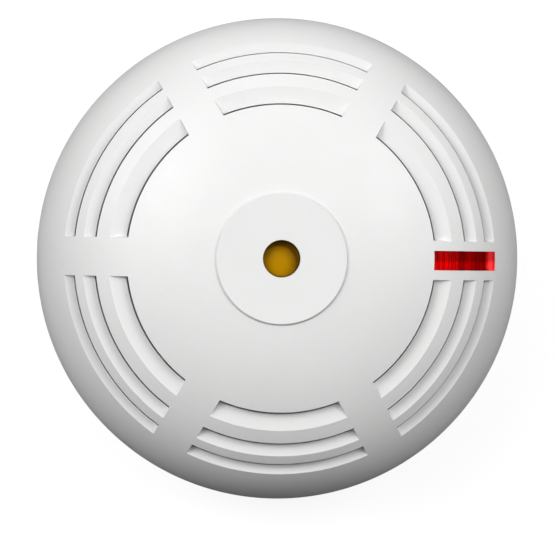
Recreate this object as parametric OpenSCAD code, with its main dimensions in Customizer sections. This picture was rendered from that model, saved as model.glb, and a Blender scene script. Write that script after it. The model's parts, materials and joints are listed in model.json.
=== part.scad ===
// Point heat detector: a louvred dome head that twists onto a mounting base.
// The mounting face lies on z = 0 and the sensor nose points along +Z.
// Millimetres throughout. Each module is one physical piece, drawn where it is fitted.

/* [Head] */
// Widest diameter of the head
head_d = 108; // [106:0.5:110]
// Height from the mounting face to the flat of the nose
total_h = 61; // [60:0.5:63]
// Squareness of the dome's outline, where 2 is a plain ellipse
dome_n = 2.3; // [2.2:0.05:2.4]
// Wall of the front cover
cover_t = 1.8; // [1.6:0.1:2.0]
// Radius of the flat disc on the nose
nose_r = 14.3; // [13:0.1:15]
// Radius of the hole that the sensor cap looks through
sensor_hole_r = 4; // [3.8:0.1:4.2]

/* [Louvres] */
// Width of each plain spoke between two louvred sectors
spoke_w = 8.3; // [7:0.1:9]
// Radius of the innermost slot's lip
louvre_in_r = 33; // [32.6:0.1:33.4]
// Radius where the outermost slot's floor meets the dome
louvre_out_r = 47; // [46.8:0.1:47.2]
// Thickness of the lip that overhangs each slot
lip_t = 1; // [0.8:0.1:1.1]

/* [Indicator] */
// Width of the red light guide's lens
lens_w = 4.1; // [3.6:0.1:4.4]

/* [Base] */
// Height of the base's side wall
base_h = 13; // [12.6:0.1:13]
// Radius of the cable entry
cable_r = 11; // [9:0.5:12]
// Spacing of the fixing slots along X
slot_spacing_x = 60; // [58:0.5:62]
// Spacing of the fixing slots along Y
slot_spacing_y = 50; // [48:0.5:52]
// Width of a fixing slot
slot_w = 4.4; // [4:0.1:5]
// End-to-end length of a fixing slot
slot_l = 12; // [10:0.5:12]
// How far the head turns from locked to free, in degrees
twist_deg = 20; // [18:0.5:22]

/* [Hidden] */
$fn = 96;
TINY = 0.01;                     // overlap between shapes that join
CUT = 1;                         // how far a cut runs past the surface that it opens

// ---- Front cover -----------------------------------------------------------
head_r = head_d / 2;
widest_z = 25.5;                 // height of the head's widest ring
skirt_z = 13.8;                  // lower edge of the skirt
skirt_draft = 0.5;               // how far the skirt draws in towards its lower edge
skirt_chamfer = 0.6;
nose_step = 0.65;                // how far the nose disc stands out of the dome
nose_bevel = 0.45;
inner_r = head_r - cover_t;
dome_rise = (total_h - nose_step - widest_z) / dome_share(nose_r / head_r);
inner_rise = dome_rise - cover_t;

// The three rows of slots, as shares of the louvred band's width
louvre_band = louvre_out_r - louvre_in_r;
slot_lip_r = [for (share = [0, 0.49, 0.83]) louvre_in_r + share * louvre_band];
slot_out_r = [for (share = [0.29, 0.7, 1]) louvre_in_r + share * louvre_band];
slot_gap = 0.45;                 // seen from the front, between a lip and its floor
lip_relief = 2.5;                // how far the underside is thinned behind the first lip
spoke_angles = [0, 60, 120];
row_steps = 3;                   // straight stretches along each slot or ridge
dome_steps = 10;                 // along the plain dome
edge_steps = 9;                  // round the head's widest ring

// Share of the rise that is left at a share of the radius
function dome_share(share) = pow(1 - pow(share, dome_n), 1 / dome_n);
function dome_z(r) = widest_z + dome_rise * dome_share(r / head_r);
function inner_z(r) = widest_z + inner_rise * dome_share(r / inner_r);
function floor_z(row) = dome_z(slot_out_r[row]);
function under_z(row) = inner_z(slot_out_r[row]);
function lip_under_z(row) = dome_z(slot_lip_r[row]) - lip_t;

// Radii from a up to, and not including, b
function stretch(a, b, steps) = [for (i = [0:steps - 1]) a + (b - a) * i / steps];
function on_dome(radii) = [for (r = radii) [r, dome_z(r)]];
function on_inside(radii) = [for (r = radii) [r, inner_z(r)]];
// The end of the superellipse, from radius a out to the widest ring
function rim_curve(a, r, rise) = let (start = asin(pow(a / r, dome_n / 2)))
    [for (i = [0:edge_steps]) let (t = start + (90 - start) * i / edge_steps)
        [r * pow(sin(t), 2 / dome_n), widest_z + rise * pow(max(0, cos(t)), 2 / dome_n)]];
function backwards(list) = [for (i = [len(list) - 1:-1:0]) list[i]];

// Outside of the cover, from the nose to the skirt's lower edge
cover_outside = concat(
    [[0, total_h], [nose_r - nose_bevel, total_h]],
    on_dome(stretch(nose_r, slot_lip_r[0], dome_steps)),
    on_dome(stretch(slot_lip_r[0], slot_out_r[0], row_steps)),
    on_dome(stretch(slot_out_r[0], slot_lip_r[1], row_steps)),
    on_dome(stretch(slot_lip_r[1], slot_out_r[1], row_steps)),
    on_dome(stretch(slot_out_r[1], slot_lip_r[2], row_steps)),
    on_dome(stretch(slot_lip_r[2], slot_out_r[2], row_steps)),
    rim_curve(slot_out_r[2], head_r, dome_rise),
    [[head_r - skirt_draft, skirt_z + skirt_chamfer], [head_r - skirt_draft - skirt_chamfer, skirt_z]]
);
// The step under each row: the slot's floor, its inner end and the thinned lip
function under_step(row) = [
    [slot_out_r[row], under_z(row)],
    [slot_lip_r[row] + slot_gap, under_z(row)],
    [slot_lip_r[row] + slot_gap, lip_under_z(row)],
    [slot_lip_r[row], lip_under_z(row)]
];
// Inside of the cover, from the skirt up to the axis
cover_inside = concat(
    [[inner_r, skirt_z]],
    backwards([for (p = rim_curve(slot_out_r[2], inner_r, inner_rise)) if (p[0] > slot_out_r[2] + TINY) p]),
    under_step(2), under_step(1), under_step(0),
    backwards(on_inside(stretch(0, slot_lip_r[0] - lip_relief, dome_steps)))
);

module louvre_sectors() {
    difference() {
        translate([0, 0, widest_z]) cylinder(r = head_r, h = total_h);
        for (a = spoke_angles)
            rotate(a) translate([-head_d, -spoke_w / 2, 0]) cube([2 * head_d, spoke_w, 3 * total_h]);
    }
}

// Cross-section of one slot: open above its floor and below its lip
module slot_section(row) {
    polygon([
        [slot_lip_r[row], lip_under_z(row) - CUT],
        [slot_lip_r[row] + slot_gap, lip_under_z(row) - CUT],
        [slot_lip_r[row] + slot_gap, floor_z(row)],
        [slot_out_r[row], floor_z(row)],
        [slot_out_r[row], total_h],
        [slot_lip_r[row], total_h]
    ]);
}

lens_gap = 0.05;
catch_angles = [45, 135, 225, 315];
catch_z = 17.6;                  // lowest edge of the snap catches inside the skirt
catch_h = 2.8;
catch_depth = 1.8;
catch_root = 0.2;                // how far a catch is sunk into the wall
catch_span = 9;                  // degrees
catch_play = 1;                  // degrees at each end of a catch in its opening
sensor_boss_r = 5.8;             // thicker ring round the sensor hole
sensor_boss_z = 57.6;

// Ring segment between two angles, turned from a cross-section
module arc(from, to) {
    rotate(from) rotate_extrude(angle = to - from) children();
}

module front_cover() {
    color("white") {
        difference() {
            union() {
                difference() {
                    rotate_extrude() polygon(concat(cover_outside, cover_inside));
                    for (row = [0:2])
                        intersection() {
                            rotate_extrude() slot_section(row);
                            louvre_sectors();
                        }
                }
                translate([0, 0, sensor_boss_z])
                    cylinder(r = sensor_boss_r, h = total_h - cover_t / 2 - sensor_boss_z);
            }
            translate([0, 0, sensor_boss_z - CUT]) cylinder(r = sensor_hole_r, h = total_h);
            lens_prism(lens_gap);
        }
        for (a = catch_angles)
            arc(a - catch_span / 2, a + catch_span / 2)
                polygon([
                    [inner_r + catch_root, catch_z],
                    [inner_r - catch_depth, catch_z + 0.15 * catch_h],
                    [inner_r - catch_depth, catch_z + 0.45 * catch_h],
                    [inner_r + catch_root, catch_z + catch_h]
                ]);
    }
}

// ---- Light guide -----------------------------------------------------------
lens_t = 2.6;
lens_proud = 0.15;               // how far the lens stands out of the dome
led_x = 38;
guide_w = 3.2;
guide_l = 5;
guide_z = 24;
guide_collar = 1;                // width and thickness of the collar that it stands on
guide_join = 1;                  // how far the stem reaches into the lens

// Space that the lens takes in plan, grown by a gap on each side
module lens_prism(gap) {
    translate([louvre_in_r - gap, -lens_w / 2 - gap, widest_z])
        cube([louvre_band + 2 * gap, lens_w + 2 * gap, total_h]);
}

module light_guide() {
    lens_r = concat(stretch(louvre_in_r - CUT, louvre_out_r + CUT, 8), [louvre_out_r + CUT]);
    color("red") {
        intersection() {
            rotate_extrude() polygon(concat(
                [for (r = lens_r) [r, dome_z(r) + lens_proud]],
                backwards([for (r = lens_r) [r, dome_z(r) + lens_proud - lens_t]])
            ));
            lens_prism(0);
        }
        translate([led_x - guide_l / 2, -guide_w / 2, guide_z])
            cube([guide_l, guide_w, dome_z(led_x + guide_l / 2) - guide_join - guide_z]);
        translate([led_x - guide_l / 2 - guide_collar, -guide_w / 2 - guide_collar, shroud_top])
            cube([guide_l + 2 * guide_collar, guide_w + 2 * guide_collar, guide_collar]);
    }
}

// ---- Sensor ----------------------------------------------------------------
board_z = 20;
board_t = 1.6;
board_top = board_z + board_t;
board_r = 40;
stalk_r = 5;
stalk_bore_r = 3.2;
stalk_top = 56.4;
stalk_flange_r = 9;
stalk_flange_t = 1.6;
stalk_web_t = 1.2;
stalk_web_h = 4.5;
vent_w = 2.4;                    // the stalk's openings, just under its top
vent_h = 6;
vent_drop = 9;
cap_top = 59.3;                  // crown of the cap, below the nose
cap_fit = 0.1;
cap_seat_gap = 0.1;              // under the cover's boss
cap_flange_r = 5.2;
cap_crown_r = 9;                 // radius of the crown's curve
cap_wall = 0.6;                  // how much tighter its bore is than the stalk's
cap_bore_h = 1.8;
bead_r = 1.4;
bead_z = 56.6;
lead_r = 0.3;
lead_x = 0.8;

module sensor_cap() {
    cap_r = sensor_hole_r - cap_fit;
    color("darkgoldenrod") difference() {
        union() {
            translate([0, 0, stalk_top])
                cylinder(r = cap_flange_r, h = sensor_boss_z - cap_seat_gap - stalk_top);
            intersection() {
                translate([0, 0, stalk_top]) cylinder(r = cap_r, h = total_h - stalk_top);
                translate([0, 0, cap_top - cap_crown_r]) sphere(r = cap_crown_r);
            }
        }
        translate([0, 0, stalk_top - CUT]) cylinder(r = stalk_bore_r - cap_wall, h = cap_bore_h + CUT);
    }
}

module thermistor() {
    color("saddlebrown") translate([0, 0, bead_z]) sphere(r = bead_r);
    color("silver") for (side = [-1, 1])
        translate([side * lead_x, 0, board_top]) cylinder(r = lead_r, h = bead_z - board_top);
}

module sensor_stalk() {
    color("whitesmoke") difference() {
        union() {
            translate([0, 0, board_top]) cylinder(r = stalk_flange_r, h = stalk_flange_t);
            translate([0, 0, board_top]) cylinder(r = stalk_r, h = stalk_top - board_top);
            for (a = [45:90:315])
                rotate(a) translate([0, -stalk_web_t / 2, board_top])
                    cube([stalk_flange_r - stalk_web_t / 2, stalk_web_t, stalk_web_h]);
        }
        translate([0, 0, board_top - CUT]) cylinder(r = stalk_bore_r, h = stalk_top);
        for (a = [0:90:270])
            rotate(a) translate([stalk_bore_r - CUT, -vent_w / 2, stalk_top - vent_drop])
                cube([stalk_r, vent_w, vent_h]);
    }
}

// ---- Electronics cover -----------------------------------------------------
shroud_r = 49.2;                 // seats inside the head back's collar
shroud_t = 1.4;
shroud_top = 30.4;
shroud_gap = 0.3;                // round the stalk and the light guide
plate_z = 14.2;
plate_t = 2;
plate_top = plate_z + plate_t;

module electronics_cover() {
    color("gainsboro") difference() {
        translate([0, 0, plate_top]) cylinder(r = shroud_r, h = shroud_top - plate_top);
        translate([0, 0, plate_top - CUT])
            cylinder(r = shroud_r - shroud_t, h = shroud_top - shroud_t - plate_top + CUT);
        translate([0, 0, plate_top]) cylinder(r = stalk_r + shroud_gap, h = shroud_top);
        translate([led_x - guide_l / 2 - shroud_gap, -guide_w / 2 - shroud_gap, plate_top])
            cube([guide_l + 2 * shroud_gap, guide_w + 2 * shroud_gap, shroud_top]);
    }
}

// ---- Circuit board and its parts -------------------------------------------
post_at = 34;
post_angles = [80, 200, 320];
post_r = 3;
post_bore_r = 1.25;
screw_shank_r = 1.2;
screw_shank_l = 5;
screw_head_r = 2.6;
screw_head_h = 2;
board_hole_r = 1.6;
lead_gap = 0.1;

terminal_at = 27;
blade_from = 4.5;                // along the tangent, from the terminal's centre
blade_w = 5;
blade_t = 0.8;
blade_z = 10.6;
blade_gap = 0.2;                 // round a blade in the plate and the board
tab_inset = 1.5;                 // how much narrower a blade's solder tab is, on each side
tab_h = 0.8;                     // of the tab above the board

// Puts a child at terminal k: its x runs anticlockwise along the tangent, its y runs inwards
module at_terminal(k) {
    rotate(45 + 90 * k) translate([terminal_at, 0, 0]) rotate(90) children();
}

// Cut for a blade's upright through a plate of thickness t, inset on each side where only its tab passes
module blade_opening(inset, z, t) {
    translate([blade_from + inset - blade_gap, blade_w / 2 - blade_t - blade_gap, z - CUT])
        cube([blade_w - 2 * inset + 2 * blade_gap, blade_t + 2 * blade_gap, t + 2 * CUT]);
}

module circuit_board() {
    through = board_t + 2 * CUT;
    color("darkgreen") difference() {
        translate([0, 0, board_z]) cylinder(r = board_r, h = board_t);
        for (a = post_angles)
            rotate(a) translate([post_at, 0, board_z - CUT]) cylinder(r = board_hole_r, h = through);
        for (k = [0:3])
            at_terminal(k) blade_opening(tab_inset, board_z, board_t);
        for (side = [-1, 1])
            translate([side * lead_x, 0, board_z - CUT]) cylinder(r = lead_r + lead_gap, h = through);
    }
}

// Pan-head screw pointing down, with its seat on z = 0 and one slot or a cross in its head
module pan_screw(pan_r, pan_h, shank_r, shank_l, cross) {
    side_h = 0.6 * pan_h;
    crown_r = 0.72 * pan_r;
    slot_reach = 0.62 * pan_r;
    slot_half = 0.13 * pan_r;
    slot_floor = 0.45 * pan_h;
    difference() {
        union() {
            cylinder(r = pan_r, h = side_h);
            translate([0, 0, side_h]) cylinder(r1 = pan_r, r2 = crown_r, h = pan_h - side_h);
            translate([0, 0, -shank_l]) cylinder(r = shank_r, h = shank_l + TINY);
        }
        for (a = cross ? [0, 90] : [0])
            rotate(a) translate([-slot_reach, -slot_half, slot_floor])
                cube([2 * slot_reach, 2 * slot_half, pan_h]);
    }
}

module board_screws() {
    color("silver") for (a = post_angles)
        rotate(a) translate([post_at, 0, board_top])
            pan_screw(screw_head_r, screw_head_h, screw_shank_r, screw_shank_l, true);
}

chip_lift = 0.1;                 // of a chip's body above the board
leg_w = 0.4;
leg_l = 1;
leg_t = 0.5;
pin_mark_r = 0.4;                // dimple that marks a chip's first leg
pin_mark_at = 1;                 // in from both sides
pin_mark_t = 0.2;

// A chip between its two rows of legs
module chip(x, y, l, w, h, legs, pitch, turn) {
    translate([x, y, board_top]) rotate(turn) {
        difference() {
            translate([-l / 2, -w / 2, chip_lift]) cube([l, w, h]);
            translate([pin_mark_at - l / 2, w / 2 - pin_mark_at, chip_lift + h - pin_mark_t])
                cylinder(r = pin_mark_r, h = CUT);
        }
        for (i = [0:legs - 1])
            for (side = [-1, 1])
                translate([(i - (legs - 1) / 2) * pitch, side * (w + leg_l - TINY) / 2, leg_t / 2])
                    cube([leg_w, leg_l, leg_t], center = true);
    }
}

module microcontroller() { color("dimgray") chip(-14, 13, 8, 6, 1.5, 6, 1.2, 20); }
module voltage_regulator() { color("dimgray") chip(15, 14, 6.5, 3.6, 1.6, 3, 2.3, -40); }
module bridge_rectifier() { color("dimgray") chip(17, -12, 6.6, 6.2, 2.4, 2, 5, 35); }

module storage_capacitor() {
    can_r = 3.8;
    can_h = 6.2;
    foot_w = 8.2;
    foot_h = 0.9;
    color("silver") translate([-16, -14, board_top]) {
        translate([-foot_w / 2, -foot_w / 2, 0]) cube([foot_w, foot_w, foot_h]);
        cylinder(r = can_r, h = can_h);
    }
}

module surge_suppressor() {
    body_l = 6.4;
    body_w = 4;
    body_h = 2.2;
    tab_l = 1.8;
    color("dimgray") translate([3, -25, board_top]) {
        translate([-body_l / 2, -body_w / 2, chip_lift]) cube([body_l, body_w, body_h]);
        for (side = [-1, 1])
            translate([side * (body_l + tab_l / 2) / 2, 0, leg_t / 2])
                cube([tab_l, body_w / 2, leg_t], center = true);
    }
}

// Capsule in plan: a closed can or its flange
module crystal_can(half_l, r, h) {
    hull()
        for (side = [-1, 1])
            translate([side * half_l, 0, 0]) cylinder(r = r, h = h, $fn = 32);
}

module quartz_crystal() {
    flange_h = 0.5;
    color("silver") translate([-2, 26, board_top]) {
        crystal_can(3.4, 2.3, flange_h);
        translate([0, 0, flange_h]) crystal_can(3.2, 1.9, 2.8);
    }
}

// Chips of one size, spaced evenly along an arc of the board
module chip_row(radius, from, step, count, l, w, h) {
    for (i = [0:count - 1])
        rotate(from + step * i) translate([radius - l / 2, -w / 2, board_top]) cube([l, w, h]);
}

module chip_resistors() {
    color("dimgray") {
        chip_row(21, 70, 9, 6, 1.0, 2.0, 0.6);
        chip_row(22, 250, 9, 4, 1.0, 2.0, 0.6);
    }
}

module chip_capacitors() {
    color("tan") {
        chip_row(13, 160, 20, 4, 1.3, 2.0, 1.1);
        chip_row(33, -20, 7, 3, 1.3, 2.0, 1.1);
    }
}

module indicator_led() {
    led_l = 3.5;
    led_w = 2.8;
    led_h = 1.5;
    color("mistyrose") translate([led_x, 0, board_top]) {
        translate([-led_l / 2, -led_w / 2, 0]) cube([led_l, led_w, led_h]);
        translate([0, 0, led_h]) cylinder(r1 = 1.2, r2 = 1, h = 0.3);
    }
}

// ---- Head back -------------------------------------------------------------
back_r = inner_r - 0.5;
collar_r = inner_r - 1;          // ring that the front cover snaps over
collar_t = 1.8;
collar_top = 22;
catch_drop = 0.4;                // from a catch's lower edge to its opening's
catch_open_h = 3;
spigot_r = 46.2;
spigot_t = 2;
lug_r = 50;
lug_z = 7.8;
lug_t = 2.2;
lug_half = 8;                    // degrees, to each side of a hook's centre
lug_root = 1;                    // how far a lug or a post is sunk into what carries it
hook_angles = [0, 90, 180, 270];

module head_back() {
    color("white") difference() {
        union() {
            translate([0, 0, plate_z]) cylinder(r = back_r, h = plate_t);
            difference() {
                translate([0, 0, plate_z]) cylinder(r = collar_r, h = collar_top - plate_z);
                translate([0, 0, plate_z - CUT]) cylinder(r = collar_r - collar_t, h = collar_top);
            }
            difference() {
                translate([0, 0, lug_z]) cylinder(r = spigot_r, h = plate_z + lug_root - lug_z);
                translate([0, 0, lug_z - CUT]) cylinder(r = spigot_r - spigot_t, h = plate_z);
            }
            for (a = hook_angles)
                arc(a - lug_half, a + lug_half)
                    translate([spigot_r - lug_root, lug_z]) square([lug_r - spigot_r + lug_root, lug_t]);
            for (a = post_angles)
                rotate(a) translate([post_at, 0, plate_z]) cylinder(r = post_r, h = board_z - plate_z);
        }
        for (a = post_angles)
            rotate(a) translate([post_at, 0, plate_top - CUT]) cylinder(r = post_bore_r, h = board_z);
        for (a = catch_angles)
            arc(a - catch_span / 2 - catch_play, a + catch_span / 2 + catch_play)
                translate([collar_r - collar_t - CUT, catch_z - catch_drop])
                    square([collar_t + 2 * CUT, catch_open_h]);
        for (k = [0:3])
            at_terminal(k) blade_opening(0, plate_z, plate_t);
    }
}

// ---- Contacts between base and head ----------------------------------------
module contact_blade(k) {
    color("silver") at_terminal(k) {
        translate([blade_from, -blade_w / 2, blade_z]) cube([blade_w, blade_w, blade_t]);
        translate([blade_from, blade_w / 2 - blade_t, blade_z])
            cube([blade_w, blade_t, board_z - blade_gap - blade_z]);
        translate([blade_from + tab_inset, blade_w / 2 - blade_t, blade_z])
            cube([blade_w - 2 * tab_inset, blade_t, board_top + tab_h - blade_z]);
    }
}

pedestal_top = 6;
strip_t = 0.8;
strip_w = 7;
strip_from = -8.6;               // along the tangent
strip_l = 11.2;
arm_w = 5;
screw_x = -4.5;                  // clamp screw, along the tangent
clamp_side = 7;
clamp_t = 1;
terminal_screw_r = 1.7;
terminal_screw_l = 4.6;
terminal_head_r = 3.2;
terminal_head_h = 2.2;
tapped_gap = 0.1;                // round a screw in the strip
clamp_gap = 0.2;                 // round a screw in its washer

// A flat strip with a tapped hole, and a sprung arm that presses up on the head's blade
module base_contact(k) {
    color("silver") at_terminal(k) translate([0, 0, pedestal_top]) {
        difference() {
            translate([strip_from, -strip_w / 2, 0]) cube([strip_l, strip_w, strip_t]);
            translate([screw_x, 0, -CUT])
                cylinder(r = terminal_screw_r + tapped_gap, h = strip_t + 2 * CUT);
        }
        translate([0, arm_w / 2, 0]) rotate([90, 0, 0]) linear_extrude(arm_w)
            polygon([
                [2, 0], [3.2, 0], [5.2, 2.8], [7, 3.4], [8.7, 3], [9.8, 1.9],
                [10.4, 2.5], [9.1, 3.8], [7, 4.3], [4.7, 3.5], [2.8, strip_t], [2, strip_t]
            ]);
    }
}

module terminal_screws() {
    color("silver") for (k = [0:3])
        at_terminal(k) translate([screw_x, 0, pedestal_top + strip_t + clamp_t])
            pan_screw(terminal_head_r, terminal_head_h, terminal_screw_r, terminal_screw_l, false);
}

module clamp_washers() {
    color("silver") for (k = [0:3])
        at_terminal(k) translate([screw_x, 0, pedestal_top + strip_t]) difference() {
            translate([-clamp_side / 2, -clamp_side / 2, 0]) cube([clamp_side, clamp_side, clamp_t]);
            translate([0, 0, -CUT]) cylinder(r = terminal_screw_r + clamp_gap, h = clamp_t + 2 * CUT);
        }
}

nut_side = 6;
nut_t = 2.2;
nut_gap = 0.1;                   // round a nut in its pocket
thread_gap = 0.05;

module terminal_nuts() {
    color("goldenrod") for (k = [0:3])
        at_terminal(k) translate([screw_x, 0, pedestal_top - nut_gap - nut_t]) difference() {
            translate([-nut_side / 2, -nut_side / 2, 0]) cube([nut_side, nut_side, nut_t]);
            translate([0, 0, -CUT]) cylinder(r = terminal_screw_r + thread_gap, h = nut_t + 2 * CUT);
        }
}

// ---- Mounting base ---------------------------------------------------------
base_r = head_r - 1.2;           // outside of the wall at its top
base_foot_r = base_r - 1.2;
base_floor = 2.4;
base_wall_r = 50.4;              // inside of the wall
foot_chamfer = 0.6;
rim_chamfer = 0.4;
hook_r = 46.6;
hook_z = lug_z + lug_t + 0.3;
hook_t = 2;
hook_half = 9;
stop_play = 0.6;                 // degrees between a lug and its stop
stop_half = 1.4;
pedestal_l = 18;
pedestal_w = 9;
cable_rim_t = 1.6;
cable_rim_h = 4;
rib_r = 40;                      // stiffening ring on the floor
rib_t = 1.2;
rib_h = 2;
floor_root = 1;                  // how far what stands on the floor is sunk into it
wall_root = 0.5;                 // and what stands on the wall
free_stop_inset = 1;             // of the stop at the free end, from the hooks' inner edge
shank_room = 0.4;                // round a terminal screw's end
relief_depth = 0.8;              // of the shallow recess in the back
relief_in_r = cable_r + 3;
relief_out_r = 42;
relief_rib_t = 1.6;
relief_ribs = 4;                 // each runs right across
pad_wall = 2.2;                  // left at full height round each fixing slot

module at_fixing_slots() {
    for (side = [-1, 1]) {
        translate([side * slot_spacing_x / 2, 0, 0]) children();
        rotate(90) translate([side * slot_spacing_y / 2, 0, 0]) children();
    }
}

// Slot with round ends, along x, or the pad that is a wall wider than it
module fixing_slot(wall, h) {
    reach = (slot_l - slot_w) / 2;
    r = slot_w / 2 + wall;
    for (side = [-1, 1]) translate([side * reach, 0, 0]) cylinder(r = r, h = h);
    translate([-reach, -r, 0]) cube([2 * reach, 2 * r, h]);
}

// Recess in the back: it leaves a ring, ribs and pads on the mounting face
module back_relief() {
    past_h = relief_depth + 3 * CUT;
    difference() {
        translate([0, 0, -CUT]) cylinder(r = relief_out_r, h = relief_depth + CUT);
        translate([0, 0, -2 * CUT]) cylinder(r = relief_in_r, h = past_h);
        for (i = [0:relief_ribs - 1]) rotate(i * 180 / relief_ribs)
            translate([-relief_out_r - CUT, -relief_rib_t / 2, -2 * CUT])
                cube([2 * (relief_out_r + CUT), relief_rib_t, past_h]);
        at_fixing_slots() translate([0, 0, -2 * CUT]) fixing_slot(pad_wall, past_h);
    }
}

module base_shell() {
    rotate_extrude() polygon([
        [0, 0], [base_foot_r - foot_chamfer, 0], [base_foot_r, foot_chamfer],
        [base_r, base_h - rim_chamfer], [base_r - rim_chamfer, base_h], [base_wall_r, base_h],
        [base_wall_r, base_floor], [0, base_floor]
    ]);
}

// The ledge that holds a lug down, the stop that it locks against and the one that it frees at
module bayonet_hook(a) {
    lock = a - lug_half - stop_play;
    free = a + lug_half + twist_deg + stop_play;
    reach = base_wall_r - hook_r + wall_root;
    arc(lock - 2 * stop_half, a + hook_half)
        translate([hook_r, hook_z]) square([reach, hook_t]);
    arc(lock - 2 * stop_half, lock)
        translate([hook_r, base_floor - floor_root])
            square([reach, hook_z + hook_t - base_floor + floor_root]);
    arc(free, free + 2 * stop_half)
        translate([hook_r + free_stop_inset, base_floor - floor_root])
            square([reach - free_stop_inset, hook_z - base_floor + floor_root]);
}

module mounting_base() {
    pocket_side = nut_side + 2 * nut_gap;
    color("white") difference() {
        union() {
            base_shell();
            cylinder(r = cable_r + cable_rim_t, h = cable_rim_h);
            difference() {
                cylinder(r = rib_r + rib_t / 2, h = base_floor + rib_h);
                translate([0, 0, -CUT]) cylinder(r = rib_r - rib_t / 2, h = base_floor + rib_h + 2 * CUT);
            }
            for (a = hook_angles) bayonet_hook(a);
            for (k = [0:3])
                at_terminal(k) translate([-pedestal_l / 2, -pedestal_w / 2, base_floor - floor_root])
                    cube([pedestal_l, pedestal_w, pedestal_top - base_floor + floor_root]);
        }
        translate([0, 0, -CUT]) cylinder(r = cable_r, h = base_h);
        at_fixing_slots() translate([0, 0, -CUT]) fixing_slot(0, base_h);
        back_relief();
        for (k = [0:3])
            at_terminal(k) {
                translate([screw_x, 0, pedestal_top - nut_t / 2])
                    cube([pocket_side, pocket_side, nut_t + 4 * nut_gap], center = true);
                translate([screw_x, 0, base_floor])
                    cylinder(r = terminal_screw_r + shank_room, h = pedestal_top);
            }
    }
}

mounting_base();
base_contact(0);  // base_contact_1
base_contact(1);  // base_contact_2
base_contact(2);  // base_contact_3
base_contact(3);  // base_contact_4
terminal_screws();
clamp_washers();
terminal_nuts();
head_back();
contact_blade(0);  // contact_blade_1
contact_blade(1);  // contact_blade_2
contact_blade(2);  // contact_blade_3
contact_blade(3);  // contact_blade_4
circuit_board();
board_screws();
microcontroller();
voltage_regulator();
bridge_rectifier();
storage_capacitor();
surge_suppressor();
quartz_crystal();
chip_resistors();
chip_capacitors();
indicator_led();
electronics_cover();
sensor_stalk();
thermistor();
sensor_cap();
light_guide();
front_cover();
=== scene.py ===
# Heat detector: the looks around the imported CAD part. Metres, in the part's own frame:
# the mounting face lies on z = 0 and the nose of the dome points along +Z.
import json
import math

import bpy
import bmesh
from mathutils import Matrix, Vector


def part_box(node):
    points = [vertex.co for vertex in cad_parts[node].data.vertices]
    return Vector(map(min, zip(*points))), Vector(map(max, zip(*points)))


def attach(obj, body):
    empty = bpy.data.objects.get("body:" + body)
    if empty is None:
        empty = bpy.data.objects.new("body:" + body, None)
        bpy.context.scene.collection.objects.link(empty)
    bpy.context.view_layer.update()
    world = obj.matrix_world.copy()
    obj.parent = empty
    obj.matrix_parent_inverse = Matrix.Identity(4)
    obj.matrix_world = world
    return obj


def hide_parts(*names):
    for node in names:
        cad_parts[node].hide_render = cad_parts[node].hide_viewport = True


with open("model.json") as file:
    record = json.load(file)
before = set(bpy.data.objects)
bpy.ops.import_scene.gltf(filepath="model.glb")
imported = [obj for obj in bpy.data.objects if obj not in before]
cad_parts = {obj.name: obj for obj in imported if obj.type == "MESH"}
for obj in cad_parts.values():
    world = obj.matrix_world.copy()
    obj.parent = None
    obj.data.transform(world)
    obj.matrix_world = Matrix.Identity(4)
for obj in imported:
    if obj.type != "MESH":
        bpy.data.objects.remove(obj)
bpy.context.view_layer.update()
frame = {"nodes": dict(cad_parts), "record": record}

MM = 0.001
HEAD = "head"

# ---- Sizes: heights from the frame, the rest as in the part's own drawing -----
cover_lo, cover_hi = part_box("front_cover")
cap_lo, cap_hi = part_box("sensor_cap")

TOP = cover_hi[2]
SKIRT_Z = cover_lo[2]
HEAD_R = 54.0 * MM
WIDEST_Z = 25.5 * MM             # height of the head's widest ring
DOME_N = 2.3                     # squareness of the dome's outline, where 2 is an ellipse
COVER_T = 1.8 * MM
SKIRT_DRAFT = 0.5 * MM           # how far the skirt draws in towards its lower edge
SKIRT_ROUND = 0.5 * MM           # radius of that edge
NOSE_R = 14.3 * MM
NOSE_STEP = 0.65 * MM            # how far the nose disc stands out of the dome
NOSE_BEVEL = 0.45 * MM
HOLE_R = 4.0 * MM
BOSS_R = 5.8 * MM                # thick ring round the sensor hole, on the inside
BOSS_Z = 57.6 * MM
LIP_T = 1.0 * MM                 # thickness of the lip over each slot
LIP_RELIEF = 2.5 * MM            # how far the underside is thinned behind the first lip
SPOKE_HALF = 4.15 * MM
LOUVRE_IN = 33.0 * MM
LOUVRE_OUT = 47.0 * MM
LOUVRE_BAND = LOUVRE_OUT - LOUVRE_IN
SLOT_LIPS = [LOUVRE_IN + share * LOUVRE_BAND for share in (0, 0.49, 0.83)]
SLOT_OUTS = [LOUVRE_IN + share * LOUVRE_BAND for share in (0.29, 0.7, 1)]
SLOT_GAPS = [0.41 * MM, 0.37 * MM, 0.33 * MM]    # between each lip and its floor
SLOTS = range(3)
WALL_DRAFT = math.tan(math.radians(11))    # slope of the slots' end walls
SECTORS = 6


def dome_share(share):
    return (1 - share ** DOME_N) ** (1 / DOME_N)


DOME_RISE = (TOP - NOSE_STEP - WIDEST_Z) / dome_share(NOSE_R / HEAD_R)
INNER_R = HEAD_R - COVER_T
INNER_RISE = DOME_RISE - COVER_T


def dome_z(r):
    return WIDEST_Z + DOME_RISE * dome_share(min(r / HEAD_R, 1))


def inner_z(r):
    return WIDEST_Z + INNER_RISE * dome_share(min(r / INNER_R, 1))


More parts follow.
